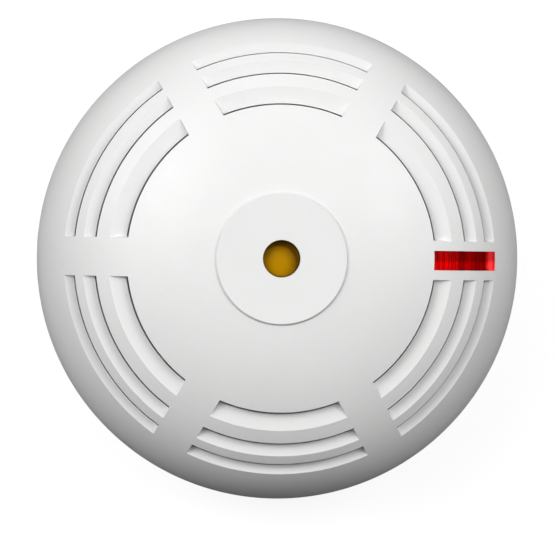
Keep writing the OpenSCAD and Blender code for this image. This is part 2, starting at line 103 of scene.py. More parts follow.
# ---- Mesh helpers --------------------------------------------------------------
def link(name, bm, body, material, replaces=()):
    """Turns a bmesh into a smooth-shaded piece that rides on a body."""
    bmesh.ops.recalc_face_normals(bm, faces=bm.faces)
    mesh = bpy.data.meshes.new(name)
    bm.to_mesh(mesh)
    bm.free()
    for polygon in mesh.polygons:
        polygon.use_smooth = True
    piece = bpy.data.objects.new(name, mesh)
    bpy.context.scene.collection.objects.link(piece)
    piece.data.materials.append(material)
    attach(piece, body)
    if replaces:
        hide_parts(*replaces)
    return piece


def bevel(piece, width, segments=2, angle=28):
    modifier = piece.modifiers.new("edges", "BEVEL")
    modifier.width = width
    modifier.segments = segments
    modifier.limit_method = "ANGLE"
    modifier.angle_limit = math.radians(angle)
    modifier.harden_normals = True
    modifier.use_clamp_overlap = True
    modifier.miter_outer = "MITER_ARC"
    return modifier


def steps(a, b, count):
    """count values from a up to, and not including, b."""
    return [a + (b - a) * i / count for i in range(count)]


def rim_curve(a, r, rise, count):
    """Superellipse from radius a out to the widest ring, evenly spaced in angle."""
    start = math.asin((a / r) ** (DOME_N / 2))
    points = []
    for i in range(count + 1):
        t = start + (math.pi / 2 - start) * i / count
        height = rise * max(0, math.cos(t)) ** (2 / DOME_N)
        points.append((r * math.sin(t) ** (2 / DOME_N), WIDEST_Z + height))
    return points


def ring(bm, r, z, segments):
    """Ring of new vertices round the part's axis."""
    turns = [2 * math.pi * i / segments for i in range(segments)]
    return [bm.verts.new((r * math.cos(t), r * math.sin(t), z)) for t in turns]


# ---- Front cover ---------------------------------------------------------------
LENS_HALF = 2.05 * MM
LENS_GAP = 0.05 * MM
WINDOW_IN = LOUVRE_IN - LENS_GAP
WINDOW_OUT = LOUVRE_OUT + LENS_GAP
WINDOW_HALF = LENS_HALF + LENS_GAP
WINDOW_SHARE = WINDOW_HALF / SPOKE_HALF
# Columns of the mesh across a spoke, as shares of its half width; the window lies between two of them
SPOKE_SHARES = [-1, -0.76, -WINDOW_SHARE, -0.26, 0, 0.26, WINDOW_SHARE, 0.76]
SLOT_COLUMNS = 46
# Rows of the mesh in each stretch of the cover's section
NOSE_ROWS, DOME_ROWS, FLOOR_ROWS, RIDGE_ROWS, RIM_ROWS = 5, 16, 6, 4, 40
SIDE_ROWS, FOOT_ROWS, INNER_RIM_ROWS, INNER_DOME_ROWS = 6, 4, 14, 9
EDGE_BAND = 0.25 * MM            # between an edge and the next row, so that its shading stays at the edge
CORNER_ANGLE = math.radians(20)
ROUNDED_FROM_Z = BOSS_Z - 30 * MM


def cover_columns():
    """One entry per column of the cover's grid.

    It holds the column's sector, and its place across the spoke or along the slot.
    """
    columns = []
    for sector in range(SECTORS):
        columns += [(sector, "spoke", share) for share in SPOKE_SHARES]
        columns += [(sector, "slot", i / SLOT_COLUMNS) for i in range(SLOT_COLUMNS)]
    return columns


COLUMNS = cover_columns()


def column_angle(column, r):
    """Spokes are parallel-sided across the louvres, so a column's angle depends on the radius there."""
    sector, part, share = column
    straight_r = min(max(r, WINDOW_IN), WINDOW_OUT)
    pitch = 2 * math.pi / SECTORS
    if part == "spoke":
        return sector * pitch + math.asin(share * SPOKE_HALF / straight_r)
    edge = math.asin(SPOKE_HALF / straight_r)
    return sector * pitch + edge + share * (pitch - 2 * edge)


def cover_rows():
    """Named rows of the cover's cross-section: the outside from the hole to the skirt, the inside back up,
    and the floor of each slot. Each row is (radius, height)."""
    rows = {}
    outside, inside, floors = [], [], []

    def add(path, name, r, z):
        rows[name] = (r, z)
        path.append(name)

    add(outside, "hole", HOLE_R, TOP)
    add(outside, "hole_rim", HOLE_R + EDGE_BAND, TOP)
    for i, r in enumerate(steps(HOLE_R + 1.2 * MM, NOSE_R - NOSE_BEVEL - 0.6 * MM, NOSE_ROWS)):
        add(outside, f"nose{i}", r, TOP)
    add(outside, "nose_rim", NOSE_R - NOSE_BEVEL - EDGE_BAND, TOP)
    add(outside, "nose_edge", NOSE_R - NOSE_BEVEL, TOP)
    add(outside, "nose_foot", NOSE_R, dome_z(NOSE_R))
    add(outside, "nose_skirt", NOSE_R + EDGE_BAND, dome_z(NOSE_R + EDGE_BAND))
    for i, r in enumerate(steps(NOSE_R + 0.5 * MM, WINDOW_IN, DOME_ROWS)):
        add(outside, f"dome{i}", r, dome_z(r))
    add(outside, "window_in", WINDOW_IN, dome_z(WINDOW_IN))
    for k in SLOTS:
        lip, gap, out = SLOT_LIPS[k], SLOT_GAPS[k], SLOT_OUTS[k]
        floor_z = dome_z(out)
        floors.append([])
        add(outside, f"lip{k}", lip, dome_z(lip))
        for i, r in enumerate(steps(lip + gap, out, FLOOR_ROWS)):
            add(outside, f"over{k}_{i}", r, dome_z(r))
            add(floors[k], f"floor{k}_{i}", r, floor_z)
        add(outside, f"out{k}", out, floor_z)
        floors[k].append(f"out{k}")
        if k < SLOTS[-1]:
            for i, r in enumerate(steps(out, SLOT_LIPS[k + 1], RIDGE_ROWS)[1:]):
                add(outside, f"ridge{k}_{i}", r, dome_z(r))
    add(outside, "window_out", WINDOW_OUT, dome_z(WINDOW_OUT))
    for i, (r, z) in enumerate(rim_curve(WINDOW_OUT, HEAD_R, DOME_RISE, RIM_ROWS)[1:]):
        add(outside, f"rim{i}", r, z)
    foot_r = HEAD_R - SKIRT_DRAFT
    side_rise = SKIRT_Z + SKIRT_ROUND - WIDEST_Z
    for i in range(1, SIDE_ROWS):
        add(outside, f"side{i}",
            HEAD_R + (foot_r - HEAD_R) * i / SIDE_ROWS, WIDEST_Z + side_rise * i / SIDE_ROWS)
    for i in range(FOOT_ROWS + 1):
        t = math.pi / 2 * i / FOOT_ROWS
        add(outside, f"foot{i}",
            foot_r - SKIRT_ROUND * (1 - math.cos(t)), SKIRT_Z + SKIRT_ROUND * (1 - math.sin(t)))

    add(inside, "skirt_in", INNER_R, SKIRT_Z)
    for i, (r, z) in enumerate(reversed(rim_curve(WINDOW_OUT, INNER_R, INNER_RISE, INNER_RIM_ROWS))):
        add(inside, f"in_rim{i}", r, z)
    inside_window_out = inside[-1]
    for k in reversed(SLOTS):
        lip, gap, out = SLOT_LIPS[k], SLOT_GAPS[k], SLOT_OUTS[k]
        under_z = inner_z(out)
        add(inside, f"under{k}_out", out, under_z)
        add(inside, f"under{k}", lip + gap, under_z)
        inside.append(f"floor{k}_0")
        add(inside, f"lip_under{k}_gap", lip + gap, dome_z(lip) - LIP_T)
        add(inside, f"lip_under{k}", lip, dome_z(lip) - LIP_T)
    relief_r = LOUVRE_IN - LIP_RELIEF
    lip_z = dome_z(LOUVRE_IN) - LIP_T
    slope = (inner_z(relief_r) - lip_z) / (LOUVRE_IN - relief_r)
    add(inside, "in_window", WINDOW_IN, lip_z + slope * (LOUVRE_IN - WINDOW_IN))
    for i, r in enumerate(reversed(steps(BOSS_R, relief_r, INNER_DOME_ROWS) + [relief_r])):
        add(inside, f"in_dome{i}", r, inner_z(r))
    add(inside, "boss_foot", BOSS_R, BOSS_Z)
    add(inside, "boss_hole", HOLE_R, BOSS_Z)
    inside.append("hole")
    return rows, outside, inside, floors, inside_window_out


def build_front_cover():
    """One closed mesh: every row of the section at every column, with the slots and the window left open."""
    rows, outside, inside, floors, inside_window_out = cover_rows()
    bm = bmesh.new()
    made = {}
    count = len(COLUMNS)
    slot_first = len(SPOKE_SHARES)
    per_sector = slot_first + SLOT_COLUMNS

    def vert(name, column):
        key = (name, column % count)
        if key not in made:
            r, z = rows[name]
            angle = column_angle(COLUMNS[column % count], r) + end_shift(name, column % count)
            made[key] = bm.verts.new((r * math.cos(angle), r * math.sin(angle), z))
        return made[key]

    def end_shift(name, column):
        """The end walls of a slot lean into it, by more the deeper they go."""
        if not name.startswith(("floor", "lip_under")) or column % per_sector not in (0, slot_first):
            return 0
        r, z = rows[name]
        lean = (dome_z(r) - z) * WALL_DRAFT / r
        return lean if column % per_sector == slot_first else -lean

    def strip(a, b, column):
        bm.faces.new([vert(a, column), vert(b, column), vert(b, column + 1), vert(a, column + 1)])

    half = SPOKE_SHARES.index(0)
    window_columns = range(half - 2, half + 2)

    cut_outside = {}
    for k in SLOTS:
        first, last = outside.index(f"lip{k}"), outside.index(f"out{k}")
        for i in range(first, last):
            cut_outside[i] = k
    window_outside = range(outside.index("window_in"), outside.index("window_out"))
    window_inside = range(inside.index(inside_window_out), inside.index("in_window"))
    open_inside = set()
    for k in SLOTS:
        open_inside |= {inside.index(f"floor{k}_0"), inside.index(f"lip_under{k}_gap")}

    for column in range(count):
        in_slot = COLUMNS[column][1] == "slot"
        in_window = column in window_columns
        for i in range(len(outside) - 1):
            if in_slot and i in cut_outside or in_window and i in window_outside:
                continue
            strip(outside[i], outside[i + 1], column)
        strip(outside[-1], inside[0], column)
        for i in range(len(inside) - 1):
            if in_slot and i in open_inside or in_window and i in window_inside:
                continue
            strip(inside[i], inside[i + 1], column)
        if in_slot:
            for k in SLOTS:
                for a, b in zip(floors[k], floors[k][1:]):
                    strip(a, b, column)
                strip(f"lip{k}", f"lip_under{k}", column)
        if in_window:
            strip("window_in", "in_window", column)
            strip("window_out", inside_window_out, column)

    # The end walls of each slot, in the spokes' side planes
    for sector in range(SECTORS):
        for column in (sector * per_sector + slot_first, (sector + 1) * per_sector):
            for k in SLOTS:
                over = outside[outside.index(f"lip{k}") + 1:outside.index(f"out{k}")]
                wall = [f"lip{k}", over[0], f"lip_under{k}_gap", f"lip_under{k}"]
                bm.faces.new([vert(name, column) for name in wall])
                wall = [over[0], over[1], floors[k][1], floors[k][0], f"lip_under{k}_gap"]
                bm.faces.new([vert(name, column) for name in wall])
                for i in range(1, len(over) - 1):
                    wall = [over[i], over[i + 1], floors[k][i + 1], floors[k][i]]
                    bm.faces.new([vert(name, column) for name in wall])
                bm.faces.new([vert(name, column) for name in (over[-1], f"out{k}", floors[k][-2])])

    # The window's two long sides
    for column in (window_columns.start, window_columns.stop):
        upper = [outside[i] for i in window_outside] + ["window_out"]
        lower = [inside[i] for i in window_inside] + ["in_window"]
        face = bm.faces.new([vert(name, column) for name in upper + lower])
        bmesh.ops.triangulate(bm, faces=[face])

    # The dome's convex edges are rounded later, and every other corner is shaded sharp
    bm.normal_update()
    bmesh.ops.recalc_face_normals(bm, faces=bm.faces)
    weight = bm.edges.layers.float.new("bevel_weight_edge")
    for edge in bm.edges:
        if len(edge.link_faces) == 2 and edge.calc_face_angle(0) > CORNER_ANGLE:
            low = min(v.co.z for v in edge.verts)
            if edge.is_convex and low > ROUNDED_FROM_Z:
                edge[weight] = 1.0
            else:
                edge.smooth = False
    return bm


# ---- Materials -----------------------------------------------------------------
PAINTED_LIGHT_SPOT = (-0.6 * MM, -1.0 * MM)        # lightest place of the painted shade on the sensor cap; the cap darkens away from here
GRAIN_DEPTH = 0.00003                      # heights of the bumps
FINE_DEPTH = 0.00002
TRACK_DEPTH = 0.00004
RESIN_DEPTH = 0.00004
LENS_DEPTH = 0.00005


def new_material(name):
    material = bpy.data.materials.new(name)
    material.use_nodes = True
    tree = material.node_tree
    tree.nodes.clear()
    shader = tree.nodes.new("ShaderNodeBsdfPrincipled")
    output = tree.nodes.new("ShaderNodeOutputMaterial")
    tree.links.new(shader.outputs["BSDF"], output.inputs["Surface"])
    return material, tree, shader


def object_coordinates(tree, scale=(1, 1, 1)):
    coordinates = tree.nodes.new("ShaderNodeTexCoord")
    mapping = tree.nodes.new("ShaderNodeMapping")
    mapping.inputs["Scale"].default_value = scale
    tree.links.new(coordinates.outputs["Object"], mapping.inputs["Vector"])
    return mapping.outputs["Vector"]


def noise(tree, vector, scale, detail=2.0, roughness=0.5):
    node = tree.nodes.new("ShaderNodeTexNoise")
    node.inputs["Scale"].default_value = scale
    node.inputs["Detail"].default_value = detail
    node.inputs["Roughness"].default_value = roughness
    tree.links.new(vector, node.inputs["Vector"])
    return node.outputs["Fac"]


def ramp(tree, value, *stops):
    """Colour ramp through (position, colour) stops, or (position, grey)."""
    node = tree.nodes.new("ShaderNodeValToRGB")
    elements = node.color_ramp.elements
    while len(elements) < len(stops):
        elements.new(0.5)
    for element, (position, colour) in zip(elements, stops):
        element.position = position
        element.color = (colour, colour, colour, 1) if isinstance(colour, (int, float)) else (*colour, 1)
    tree.links.new(value, node.inputs["Fac"])
    return node.outputs["Color"]


def mix_colour(tree, factor, a, b, mode="MIX"):
    node = tree.nodes.new("ShaderNodeMix")
    node.data_type = "RGBA"
    node.blend_type = mode
    for socket, value in (("Factor", factor), ("A", a), ("B", b)):
        target = [s for s in node.inputs if s.name == socket and s.enabled][0]
        if isinstance(value, bpy.types.NodeSocket):
            tree.links.new(value, target)
        elif isinstance(value, (int, float)):
            target.default_value = value
        else:
            target.default_value = (*value, 1)
    return [s for s in node.outputs if s.enabled][0]


def math_node(tree, operation, a, b=None):
    node = tree.nodes.new("ShaderNodeMath")
    node.operation = operation
    for i, value in enumerate((a, b)):
        if isinstance(value, bpy.types.NodeSocket):
            tree.links.new(value, node.inputs[i])
        elif value is not None:
            node.inputs[i].default_value = value
    return node.outputs["Value"]


def bump(tree, shader, height, strength, distance):
    node = tree.nodes.new("ShaderNodeBump")
    node.inputs["Strength"].default_value = strength
    node.inputs["Distance"].default_value = distance
    tree.links.new(height, node.inputs["Height"])
    tree.links.new(node.outputs["Normal"], shader.inputs["Normal"])


def edge_wear(tree, low=0.54, high=0.6):
    """Mask of the convex edges, from the mesh's own pointiness."""
    geometry = tree.nodes.new("ShaderNodeNewGeometry")
    return ramp(tree, geometry.outputs["Pointiness"], (low, 0.0), (high, 1.0))


def moulded_plastic(name, colour, shade, grain, rough=0.42):
    """Injection-moulded plastic: faint cloudiness, specks of dust and a fine spark-eroded grain."""
    material, tree, shader = new_material(name)
    place = object_coordinates(tree)
    clouds = noise(tree, place, 38, 4, 0.6)
    specks = noise(tree, place, 900, 2)
    body = mix_colour(tree, ramp(tree, clouds, (0.35, 0.0), (0.7, 1.0)), colour, shade)
    dust = tuple(0.9 * c for c in shade)
    dusty = mix_colour(tree, ramp(tree, specks, (0.62, 0.0), (0.78, 0.22)), body, dust)
    tree.links.new(dusty, shader.inputs["Base Color"])
    tree.links.new(ramp(tree, noise(tree, place, 160, 3), (0.3, rough - 0.05), (0.7, rough + 0.06)),
                   shader.inputs["Roughness"])
    shader.inputs["IOR"].default_value = 1.5
    bump(tree, shader, noise(tree, place, 2600, 2, 0.6), grain, GRAIN_DEPTH)
    return material


def plated_metal(name, colour, dull, rough=0.3, lines=(1, 1, 1)):
    """Plated metal: rolling or turning marks, cloudy dulling and brighter edges."""
    material, tree, shader = new_material(name)
    place = object_coordinates(tree, lines)
    clouds = noise(tree, place, 120, 4, 0.6)
    marks = noise(tree, place, 1500, 3, 0.7)
    body = mix_colour(tree, ramp(tree, clouds, (0.35, 0.0), (0.75, 1.0)), colour, dull)
    edged = mix_colour(tree, math_node(tree, "MULTIPLY", edge_wear(tree), 0.6), body,
                       tuple(min(1, 1.25 * c) for c in colour))
    tree.links.new(edged, shader.inputs["Base Color"])
    shader.inputs["Metallic"].default_value = 1.0
    tree.links.new(ramp(tree, marks, (0.3, rough - 0.08), (0.7, rough + 0.12)), shader.inputs["Roughness"])
    bump(tree, shader, marks, 0.25, FINE_DEPTH)
    return material


def circuit_laminate(name):
    """Solder mask over copper: raised, lighter tracks, with the weave of the laminate between them."""
    material, tree, shader = new_material(name)
    place = object_coordinates(tree)
    bricks = tree.nodes.new("ShaderNodeTexBrick")
    bricks.inputs["Scale"].default_value = 330
    bricks.inputs["Mortar Size"].default_value = 0.022
    bricks.inputs["Color1"].default_value = (0, 0, 0, 1)
    bricks.inputs["Color2"].default_value = (0, 0, 0, 1)
    bricks.inputs["Mortar"].default_value = (1, 1, 1, 1)
    tree.links.new(place, bricks.inputs["Vector"])
    tracks = bricks.outputs["Color"]
    weave = noise(tree, place, 1400, 2)
    mask = mix_colour(tree, ramp(tree, weave, (0.4, 0.0), (0.6, 1.0)),
                      (0.012, 0.1, 0.035), (0.018, 0.13, 0.05))
    copper = mix_colour(tree, tracks, mask, (0.05, 0.24, 0.09))
    tree.links.new(copper, shader.inputs["Base Color"])
    rough = ramp(tree, noise(tree, place, 90, 3), (0.3, 0.22), (0.7, 0.36))
    tree.links.new(rough, shader.inputs["Roughness"])
    bump(tree, shader, tracks, 0.5, TRACK_DEPTH)
    return material


def away_from(tree, x, y, centre):
    """Distance in plan from a place on the part."""
    dx = math_node(tree, "SUBTRACT", x, centre[0])
    dy = math_node(tree, "SUBTRACT", y, centre[1])
    return math_node(tree, "SQRT", math_node(tree, "ADD", math_node(tree, "MULTIPLY", dx, dx),
                                             math_node(tree, "MULTIPLY", dy, dy)))


def amber_resin(name):
    """Tinted resin over the bead, with painted shade: lightest a little to one side of the centre and darkest
    towards the far rim, where the hole's wall shades it.
    """
    material, tree, shader = new_material(name)
    coordinates = tree.nodes.new("ShaderNodeTexCoord")
    split = tree.nodes.new("ShaderNodeSeparateXYZ")
    tree.links.new(coordinates.outputs["Object"], split.inputs["Vector"])
    away = away_from(tree, split.outputs["X"], split.outputs["Y"], PAINTED_LIGHT_SPOT)
    across = math_node(tree, "DIVIDE", away, HOLE_R)
    place = object_coordinates(tree)
    cloudy = math_node(tree, "ADD", across, math_node(tree, "MULTIPLY", noise(tree, place, 420, 3), 0.12))
    # Painted shade: the amber darkens from the lightest spot out to the rim, with a noisy edge
    shaded_amber = ramp(tree, cloudy, (0.35, (0.44, 0.222, 0.0004)), (0.58, (0.39, 0.195, 0.0004)),
                (0.8, (0.29, 0.14, 0.0003)), (1.0, (0.21, 0.096, 0.0002)), (1.2, (0.14, 0.058, 0.0002)))
    bubbles = ramp(tree, noise(tree, place, 1900, 1), (0.7, 0.0), (0.78, 0.2))
    tree.links.new(mix_colour(tree, bubbles, shaded_amber, (0.5, 0.27, 0.005)), shader.inputs["Base Color"])
    rough = ramp(tree, noise(tree, place, 300, 2), (0.3, 0.28), (0.7, 0.4))
    tree.links.new(rough, shader.inputs["Roughness"])
    shader.inputs["Specular IOR Level"].default_value = 0.03
    bump(tree, shader, noise(tree, place, 700, 2), 0.2, RESIN_DEPTH)
    return material


def red_lens(name):
    """Clear red moulding with painted light in its colour: a painted glow at the ribbed inner end, painted
    shade along its middle, a painted highlight near its outer end and a lighter lower side.
    """
    material, tree, shader = new_material(name)
    coordinates = tree.nodes.new("ShaderNodeTexCoord")
    split = tree.nodes.new("ShaderNodeSeparateXYZ")
    tree.links.new(coordinates.outputs["Object"], split.inputs["Vector"])
    x, y = split.outputs["X"], split.outputs["Y"]
    along = math_node(tree, "DIVIDE", math_node(tree, "SUBTRACT", x, LOUVRE_IN), LOUVRE_BAND)
    across = math_node(tree, "DIVIDE", math_node(tree, "ADD", y, LENS_HALF), 2 * LENS_HALF)
    streaks = noise(tree, object_coordinates(tree, (60, 700, 60)), 2.2, 3)
    bands = noise(tree, object_coordinates(tree, (1500, 90, 60)), 1.0, 3)
    waver = math_node(tree, "MULTIPLY", math_node(tree, "SUBTRACT", streaks, 0.5), 0.05)
    wavy = math_node(tree, "ADD", along, waver)
    # Painted light along the lens: a painted glow at the ribbed inner end, painted shade in the middle and a
    # painted highlight near the outer end
    painted_glow_along = ramp(tree, wavy, (0.0, (0.62, 0.0006, 0.0006)), (0.06, (0.44, 0.0004, 0.0004)),
                 (0.2, (0.52, 0.0004, 0.0004)), (0.33, (0.47, 0.0004, 0.0004)), (0.39, (0.2, 0.0001, 0.0001)),
                 (0.47, (0.19, 0.0001, 0.0001)), (0.53, (0.33, 0.0002, 0.0002)),
                 (0.62, (0.27, 0.0002, 0.0002)),
                 (0.74, (0.18, 0.0001, 0.0001)), (0.82, (0.2, 0.0002, 0.0002)), (0.86, (0.5, 0.003, 0.003)),
                 (0.89, (1.0, 0.035, 0.035)), (0.94, (1.0, 0.05, 0.05)), (0.98, (0.9, 0.005, 0.005)))
    # Painted light: the lower side of the lens is up to 1.8 times lighter; the bands add random streaks
    lower_side_light_and_streaks = ramp(tree, math_node(tree, "ADD", across, math_node(tree, "MULTIPLY", streaks, 0.2)),
                    (0.44, 1.8), (0.64, 1.0))
    lower_side_light_and_streaks = math_node(tree, "MULTIPLY", lower_side_light_and_streaks, ramp(tree, bands, (0.38, 0.62), (0.62, 1.2)))
    lit = mix_colour(tree, 1.0, painted_glow_along, lower_side_light_and_streaks, "MULTIPLY")
    tree.links.new(lit, shader.inputs["Base Color"])
    tree.links.new(ramp(tree, streaks, (0.3, 0.15), (0.7, 0.3)), shader.inputs["Roughness"])
    shader.inputs["Specular IOR Level"].default_value = 0.02
    bump(tree, shader, streaks, 0.1, LENS_DEPTH)
    return material


def glossy_part(name, colour, shade, rough=0.3, grain=0.3, scale=700):
    """Small moulded, dipped or fired parts."""
    material, tree, shader = new_material(name)
    place = object_coordinates(tree)
    clouds = noise(tree, place, scale, 3, 0.6)
    body = mix_colour(tree, ramp(tree, clouds, (0.35, 0.0), (0.7, 1.0)), colour, shade)
    edged = mix_colour(tree, math_node(tree, "MULTIPLY", edge_wear(tree), 0.4), body,
                       tuple(min(1, 1.6 * c + 0.02) for c in colour))
    tree.links.new(edged, shader.inputs["Base Color"])
    tree.links.new(ramp(tree, clouds, (0.3, rough - 0.06), (0.7, rough + 0.1)), shader.inputs["Roughness"])
    bump(tree, shader, noise(tree, place, 4 * scale, 2), grain, FINE_DEPTH)
    return material


MATERIALS = {
    "white_plastic": moulded_plastic("white_plastic", (0.84, 0.84, 0.835), (0.815, 0.815, 0.81), 0.35),
    "grey_plastic": moulded_plastic("grey_plastic", (0.5, 0.5, 0.49), (0.45, 0.45, 0.44), 0.5, 0.5),
    "spring_metal": plated_metal("spring_metal", (0.72, 0.71, 0.67), (0.6, 0.59, 0.55), 0.25, (1, 6, 1)),
    "plated_steel": plated_metal("plated_steel", (0.6, 0.61, 0.62), (0.47, 0.48, 0.5), 0.32),
    "brass": plated_metal("brass", (0.66, 0.45, 0.16), (0.5, 0.32, 0.1), 0.3),
    "board_laminate": circuit_laminate("board_laminate"),
    "black_epoxy": glossy_part("black_epoxy", (0.018, 0.018, 0.02), (0.03, 0.03, 0.032), 0.5, 0.6),
    "bare_can": plated_metal("bare_can", (0.7, 0.71, 0.73), (0.58, 0.59, 0.61), 0.28, (1, 1, 8)),
    "tan_ceramic": glossy_part("tan_ceramic", (0.36, 0.22, 0.1), (0.3, 0.18, 0.08), 0.45),
    "led_resin": glossy_part("led_resin", (0.75, 0.62, 0.58), (0.65, 0.5, 0.47), 0.2, 0.1),
    "thermistor_bead": glossy_part("thermistor_bead", (0.12, 0.05, 0.015), (0.09, 0.035, 0.01), 0.2, 0.2),
    "amber_cap": amber_resin("amber_cap"),
    "red_lens": red_lens("red_lens"),
}


# Radius of the rounded edges on the pieces that come from CAD, by material slot
EDGE_RADIUS = {
    "white_plastic": 0.3 * MM,
    "grey_plastic": 0.2 * MM,
    "spring_metal": 0.08 * MM,
    "plated_steel": 0.12 * MM,
    "brass": 0.12 * MM,
    "board_laminate": 0.06 * MM,
    "black_epoxy": 0.07 * MM,
    "bare_can": 0.2 * MM,
    "tan_ceramic": 0.08 * MM,
    "led_resin": 0.1 * MM,
}


def dress_frame():
    """Gives each CAD node its material, and rounds its edges."""
    slots = {part["node"]: part["material_slot"] for part in frame["record"]["subparts"]}
    for node, piece in frame["nodes"].items():
        slot = slots[node]
        piece.data.materials.clear()
        piece.data.materials.append(MATERIALS[slot])
        for attribute in [a for a in piece.data.attributes if a.name == "custom_normal"]:
            piece.data.attributes.remove(attribute)
        for polygon in piece.data.polygons:
            polygon.use_smooth = True
        weld = piece.modifiers.new("weld", "WELD")
        weld.merge_threshold = 0.002 * MM
        if slot in EDGE_RADIUS:
            flats = piece.modifiers.new("flats", "DECIMATE")
            flats.decimate_type = "DISSOLVE"
            flats.angle_limit = math.radians(0.4)
            bevel(piece, EDGE_RADIUS[slot], 3 if slot == "white_plastic" else 2, 30)


# ---- Light guide and sensor cap --------------------------------------------------
LENS_SINK = 0.06 * MM            # the lens lies just under the dome
LENS_T = 2.6 * MM
RIB_PITCH = 0.52 * MM
RIB_H = 0.16 * MM
LENS_ROUND = 0.2 * MM            # width of the lens's rounded border
LENS_DROP = 0.12 * MM            # how far that border falls
RIBBED_L = 4.6 * MM
RIBS_INSET = 0.5 * MM


def lens_top(x, y):
    """Follows the dome, with fine ribs near the inner end and a border that rolls over."""
    z = dome_z(math.hypot(x, y)) - LENS_SINK
    along = x - LOUVRE_IN - RIBS_INSET
    if 0 < along < RIBBED_L:
        z -= RIB_H * math.sin(math.pi * along / RIB_PITCH) ** 2
    border = min(x - LOUVRE_IN, LOUVRE_OUT - x, y + LENS_HALF, LENS_HALF - y)
    if border < LENS_ROUND:
        z -= LENS_DROP * (1 - border / LENS_ROUND) ** 2
    return z


def slab(bm, xs, ys, top, bottom):
    """Closed block over a grid, with its top and bottom given as functions of the place."""
    grid = {}
    for i, x in enumerate(xs):
        for j, y in enumerate(ys):
            grid[i, j, 0] = bm.verts.new((x, y, bottom(x, y)))
            grid[i, j, 1] = bm.verts.new((x, y, top(x, y)))
    for i in range(len(xs) - 1):
        for j in range(len(ys) - 1):
            for side in (0, 1):
                corners = ((i, j), (i + 1, j), (i + 1, j + 1), (i, j + 1))
                bm.faces.new([grid[u, v, side] for u, v in corners])
    for i in range(len(xs) - 1):
        for j in (0, len(ys) - 1):
            bm.faces.new([grid[i, j, 0], grid[i + 1, j, 0], grid[i + 1, j, 1], grid[i, j, 1]])
    for j in range(len(ys) - 1):
        for i in (0, len(xs) - 1):
            bm.faces.new([grid[i, j, 0], grid[i, j + 1, 0], grid[i, j + 1, 1], grid[i, j, 1]])


def grid_line(a, b, pitch):
    count = max(1, round((b - a) / pitch))
    return steps(a, b, count) + [b]


def lens_foot(x, y):
    return dome_z(math.hypot(x, y)) - LENS_T


def build_lens():
    bm = bmesh.new()
    middle = LENS_HALF - LENS_ROUND
    ys = steps(-LENS_HALF, -middle, 4) + grid_line(-middle, middle, 0.35 * MM)
    ys += steps(middle, LENS_HALF, 4)[1:] + [LENS_HALF]
    slab(bm, grid_line(LOUVRE_IN, LOUVRE_OUT, 0.05 * MM), ys, lens_top, lens_foot)
    link("indicator_lens", bm, HEAD, MATERIALS["red_lens"], ["light_guide"])


def build_guide_stem():
    """The stem under the lens, with the collar that it stands on."""
    led_x = (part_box("indicator_led")[0][0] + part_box("indicator_led")[1][0]) / 2
    foot_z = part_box("light_guide")[0][2]
    shroud_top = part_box("electronics_cover")[1][2]
    half_l, half_w, collar = 2.5 * MM, 1.6 * MM, 1.0 * MM
    corners = ((-1, -1), (1, -1), (1, 1), (-1, 1))
    bm = bmesh.new()
    rings = [(0, foot_z), (0, shroud_top), (collar, shroud_top),
             (collar, shroud_top + collar), (0, shroud_top + collar)]
    loops = []
    for grow, z in rings:
        loops.append([bm.verts.new((led_x + sx * (half_l + grow), sy * (half_w + grow), z))
                      for sx, sy in corners])
    top = [(led_x + sx * half_l, sy * half_w) for sx, sy in corners]
    loops.append([bm.verts.new((x, y, lens_foot(x, y))) for x, y in top])
    for a, b in zip(loops, loops[1:]):
        for i in range(4):
            bm.faces.new([a[i], a[(i + 1) % 4], b[(i + 1) % 4], b[i]])
    bm.faces.new(loops[0])
    bm.faces.new(loops[-1])
    stem = link("light_guide_stem", bm, HEAD, MATERIALS["red_lens"])
    bevel(stem, 0.2 * MM, 2, 30)


def lathe(bm, profile, segments):
    """Turns a closed outline of (radius, height) points about Z; points on the axis close to one vertex."""
    rings = [[bm.verts.new((0, 0, z))] if r < 1e-9 else ring(bm, r, z, segments) for r, z in profile]
    for a, b in zip(rings, rings[1:]):
        for i in range(segments):
            j = (i + 1) % segments
            if len(a) == 1 and len(b) == 1:
                continue
            if len(a) == 1:
                bm.faces.new([a[0], b[i], b[j]])
            elif len(b) == 1:
                bm.faces.new([a[i], a[j], b[0]])
            else:
                bm.faces.new([a[i], a[j], b[j], b[i]])


def build_sensor_cap():
    """Domed cap with a soft shoulder, as it shows through the sensor hole."""
    flange_r = cap_hi[0]
    foot, shoulder = cap_lo[2], cap_lo[2] + 1.1 * MM
    crown_r, cap_r = 9 * MM, 3.9 * MM
    crown = cap_hi[2]
    hollow_r, hollow_z = 2.6 * MM, foot + 1.8 * MM
    chamfer, fillet = 0.15 * MM, 0.45 * MM
    fillet_steps, crown_steps = 5, 12
    profile = [(0, hollow_z), (hollow_r, hollow_z), (hollow_r, foot), (flange_r - chamfer, foot),
               (flange_r, foot + chamfer), (flange_r, shoulder - chamfer),
               (flange_r - chamfer, shoulder), (cap_r, shoulder)]
    edge_z = crown - crown_r + math.sqrt(crown_r ** 2 - (cap_r - fillet) ** 2)
    for i in range(fillet_steps + 1):
        t = math.pi / 2 * i / fillet_steps
        profile.append((cap_r - fillet + fillet * math.cos(t), edge_z - fillet + fillet * math.sin(t)))
    for i in range(1, crown_steps + 1):
        r = (cap_r - fillet) * (1 - i / crown_steps)
        profile.append((r, crown - crown_r + math.sqrt(crown_r ** 2 - r ** 2)))
    bm = bmesh.new()
    lathe(bm, profile, 72)
    link("sensor_cap_dome", bm, HEAD, MATERIALS["amber_cap"], ["sensor_cap"])


# ---- Build -----------------------------------------------------------------------
dress_frame()
cover = link("louvred_cover", build_front_cover(), HEAD, MATERIALS["white_plastic"],
             ["front_cover"])
edges = bevel(cover, 0.16 * MM)
edges.limit_method = "WEIGHT"
build_lens()
build_guide_stem()
build_sensor_cap()


